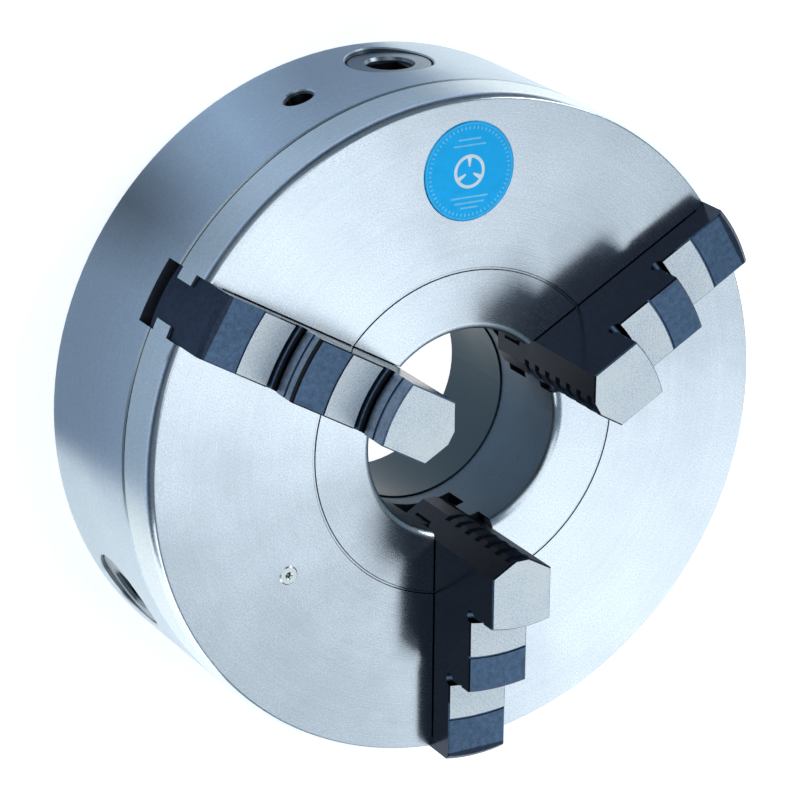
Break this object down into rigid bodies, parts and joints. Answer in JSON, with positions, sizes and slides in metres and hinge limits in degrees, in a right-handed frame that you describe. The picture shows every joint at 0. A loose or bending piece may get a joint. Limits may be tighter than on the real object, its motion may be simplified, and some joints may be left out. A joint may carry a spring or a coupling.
{
  "type": "three-jaw lathe chuck",
  "caption": "Self-centring lathe chuck: round body with a through bore, stepped sliding jaws driven together by a scroll and key-turned bevel pinions.",
  "frame": {"origin": "centre of the rear mounting face, on the spindle axis", "axes": "+Z along the spindle axis, out of the front face; the third jaw points along -Y and the first pinion faces +Y"},
  "size_m": [0.25, 0.25, 0.1257],
  "materials": {
    "turned_steel": "turned and ground, bright",
    "rear_cast_iron": "machined, dark grey",
    "black_screw": "black oxide",
    "scroll_steel": "hardened and ground",
    "pinion_steel": "hardened, satin",
    "jaw_steel": "blued, with bright ground gripping steps",
    "nipple_steel": "plated",
    "spring_steel": "drawn wire",
    "blue_disc": "printed foil, satin"
  },
  "bodies": {
    "chuck": {"chuck_body": "turned_steel", "rear_cover": "rear_cast_iron", "cover_screws": "black_screw", "pinion_retaining_screws": "black_screw", "nipple_body": "nipple_steel", "nipple_spring": "spring_steel", "name_disc": "blue_disc"},
    "scroll": {"scroll_ring": "scroll_steel"},
    "jaw_1": {"jaw_1": "jaw_steel"},
    "jaw_2": {"jaw_2": "jaw_steel"},
    "jaw_3": {"jaw_3": "jaw_steel"},
    "pinion_1": {"pinion_1": "pinion_steel"},
    "pinion_2": {"pinion_2": "pinion_steel"},
    "pinion_3": {"pinion_3": "pinion_steel"},
    "ball": {"nipple_ball": "nipple_steel"}
  },
  "joints": [
    {"name": "scroll_spin", "type": "hinge", "parent": "chuck", "child": "scroll", "pos_m": [0, 0, 0.045], "axis": [0, 0, 1], "range_deg": [-864, 1152]},
    {"name": "jaw_1_slide", "type": "slide", "parent": "chuck", "child": "jaw_1", "axis": [0.866, 0.5, 0], "range_m": [-0.0321, 0.0241]},
    {"name": "jaw_2_slide", "type": "slide", "parent": "chuck", "child": "jaw_2", "axis": [-0.866, 0.5, 0], "range_m": [-0.0321, 0.0241]},
    {"name": "jaw_3_slide", "type": "slide", "parent": "chuck", "child": "jaw_3", "axis": [0, -1, 0], "range_m": [-0.0321, 0.0241]},
    {"name": "pinion_1_spin", "type": "hinge", "parent": "chuck", "child": "pinion_1", "pos_m": [0, 0.1, 0.026], "axis": [0, 1, 0], "range_deg": [-8180, 6140]},
    {"name": "pinion_2_spin", "type": "hinge", "parent": "chuck", "child": "pinion_2", "pos_m": [-0.0866, -0.05, 0.026], "axis": [-0.866, -0.5, 0], "range_deg": [-8180, 6140]},
    {"name": "pinion_3_spin", "type": "hinge", "parent": "chuck", "child": "pinion_3", "pos_m": [0.0866, -0.05, 0.026], "axis": [0.866, -0.5, 0], "range_deg": [-8180, 6140]},
    {"name": "nipple_ball_press", "type": "slide", "parent": "chuck", "child": "ball", "axis": [0, 0, -1], "range_m": [0, 0.0005], "stiffness_N_per_m": 100, "springref_m": -0.002, "deforming": ["nipple_spring"]}
  ],
  "couplings": [
    {"joint": "jaw_1_slide", "follows": "scroll_spin", "m_per_rad": -0.0015915},
    {"joint": "jaw_2_slide", "follows": "scroll_spin", "m_per_rad": -0.0015915},
    {"joint": "jaw_3_slide", "follows": "scroll_spin", "m_per_rad": -0.0015915},
    {"joint": "pinion_1_spin", "follows": "scroll_spin", "ratio": -7.0909},
    {"joint": "pinion_2_spin", "follows": "scroll_spin", "ratio": -7.0909},
    {"joint": "pinion_3_spin", "follows": "scroll_spin", "ratio": -7.0909}
  ]
}
